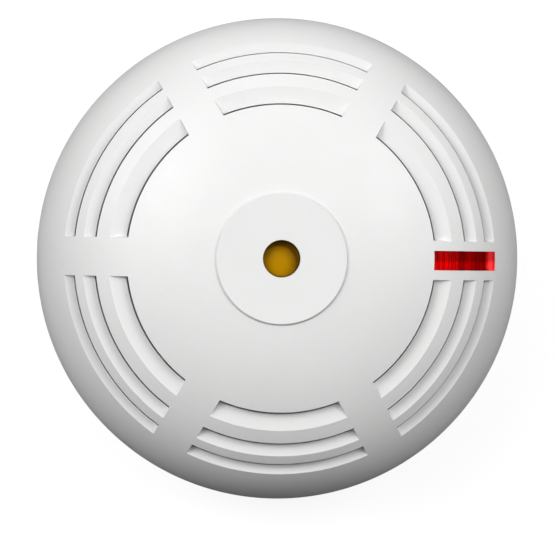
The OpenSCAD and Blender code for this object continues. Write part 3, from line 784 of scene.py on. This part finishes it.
# ---- Stage -----------------------------------------------------------------------
FLOOR_R = 1.6
FLOOR_HOLE_R = 51.7 * MM         # just outside the base's foot, so that light from below reaches the back
CAMERA_DISTANCE = 0.6
CAMERA_ASIDE = (-0.0168, 0.0015)           # how far the camera stands off the nose's axis
CAMERA_ROLL = math.radians(0.72)


def mix_shader(tree, factor, a, b):
    node = tree.nodes.new("ShaderNodeMixShader")
    tree.links.new(factor, node.inputs["Fac"])
    tree.links.new(a, node.inputs[1])
    tree.links.new(b, node.inputs[2])
    return node.outputs["Shader"]


def build_floor():
    """Pale floor, open under the part. It is one-sided, so that the back can be looked at from below."""
    bm = bmesh.new()
    segments = 96
    inner, outer = ring(bm, FLOOR_HOLE_R, 0, segments), ring(bm, FLOOR_R, 0, segments)
    for i in range(segments):
        j = (i + 1) % segments
        bm.faces.new([inner[i], outer[i], outer[j], inner[j]])
    mesh = bpy.data.meshes.new("floor")
    bm.to_mesh(mesh)
    bm.free()
    floor = bpy.data.objects.new("floor", mesh)
    bpy.context.scene.collection.objects.link(floor)
    material, tree, shader = new_material("floor")
    shader.inputs["Base Color"].default_value = (0.26, 0.26, 0.26, 1)
    shader.inputs["Roughness"].default_value = 0.6
    shader.inputs["Emission Color"].default_value = (1, 1, 1, 1)
    shader.inputs["Emission Strength"].default_value = 0.82
    # What the floor throws back at the part is far weaker than how the floor looks,
    # or the rim would be too light
    dim = tree.nodes.new("ShaderNodeBsdfDiffuse")
    dim.inputs["Color"].default_value = (0.16, 0.16, 0.16, 1)
    clear = tree.nodes.new("ShaderNodeBsdfTransparent")
    geometry = tree.nodes.new("ShaderNodeNewGeometry")
    rays = tree.nodes.new("ShaderNodeLightPath")
    seen = mix_shader(tree, geometry.outputs["Backfacing"], shader.outputs["BSDF"], clear.outputs["BSDF"])
    output = [node for node in tree.nodes if node.type == "OUTPUT_MATERIAL"][0]
    both = mix_shader(tree, rays.outputs["Is Camera Ray"], dim.outputs["BSDF"], seen)
    tree.links.new(both, output.inputs["Surface"])
    floor.data.materials.append(material)


# Soft lights: angle from +Z and round from +X, both in degrees, strength, and how tightly they are aimed.
# The last one is below the part, for its back.
SOFT_LIGHTS = [(40, 150, 8.7, 24), (40, 30, 7.1, 24), (0, 0, 0.9, 24), (60, 150, 3.4, 24),
               (60, 30, 1.1, 24), (66, 90, 2.0, 40), (52, 0, 0.4, 8), (180, 0, 2.2, 2)]


def build_world():
    """Soft studio light, mostly from above in the main view and from its left, with a plain pale backdrop."""
    world = bpy.data.worlds.new("studio")
    bpy.context.scene.world = world
    world.use_nodes = True
    tree = world.node_tree
    tree.nodes.clear()
    coordinates = tree.nodes.new("ShaderNodeTexCoord")
    total = None
    for tilt, around, strength, spread in SOFT_LIGHTS:
        tilt, around = math.radians(tilt), math.radians(around)
        dot = tree.nodes.new("ShaderNodeVectorMath")
        dot.operation = "DOT_PRODUCT"
        flat = math.sin(tilt)
        dot.inputs[1].default_value = (flat * math.cos(around), flat * math.sin(around), math.cos(tilt))
        tree.links.new(coordinates.outputs["Generated"], dot.inputs[0])
        lobe = math_node(tree, "POWER", math_node(tree, "MAXIMUM", dot.outputs["Value"], 0.0), spread)
        lobe = math_node(tree, "MULTIPLY", lobe, strength)
        total = lobe if total is None else math_node(tree, "ADD", total, lobe)
    light = tree.nodes.new("ShaderNodeBackground")
    tree.links.new(total, light.inputs["Strength"])
    backdrop = tree.nodes.new("ShaderNodeBackground")
    backdrop.inputs["Color"].default_value = (0.96, 0.96, 0.96, 1)
    rays = tree.nodes.new("ShaderNodeLightPath")
    seen = mix_shader(tree, rays.outputs["Is Camera Ray"],
                      light.outputs["Background"], backdrop.outputs["Background"])
    output = tree.nodes.new("ShaderNodeOutputWorld")
    tree.links.new(seen, output.inputs["Surface"])


def build_camera():
    """Looks almost straight at the nose, from a touch to the left."""
    data = bpy.data.cameras.new("camera")
    camera = bpy.data.objects.new("camera", data)
    bpy.context.scene.collection.objects.link(camera)
    target = Vector((0, 0, WIDEST_Z))
    camera.location = target + Vector((*CAMERA_ASIDE, CAMERA_DISTANCE))
    back = (camera.location - target).normalized()
    right = Vector((0, 1, 0)).cross(back).normalized()
    facing = Matrix((right, back.cross(right), back)).transposed().to_4x4()
    camera.rotation_mode = "QUATERNION"
    camera.rotation_quaternion = (facing @ Matrix.Rotation(CAMERA_ROLL, 4, "Z")).to_quaternion()
    data.sensor_width = 36
    data.lens = 172.6
    data.shift_x = 0.0007
    data.shift_y = -0.0346
    data.clip_start, data.clip_end = 0.05, 20
    bpy.context.scene.camera = camera


build_floor()
build_world()
build_camera()
bpy.context.scene.view_settings.view_transform = "Standard"
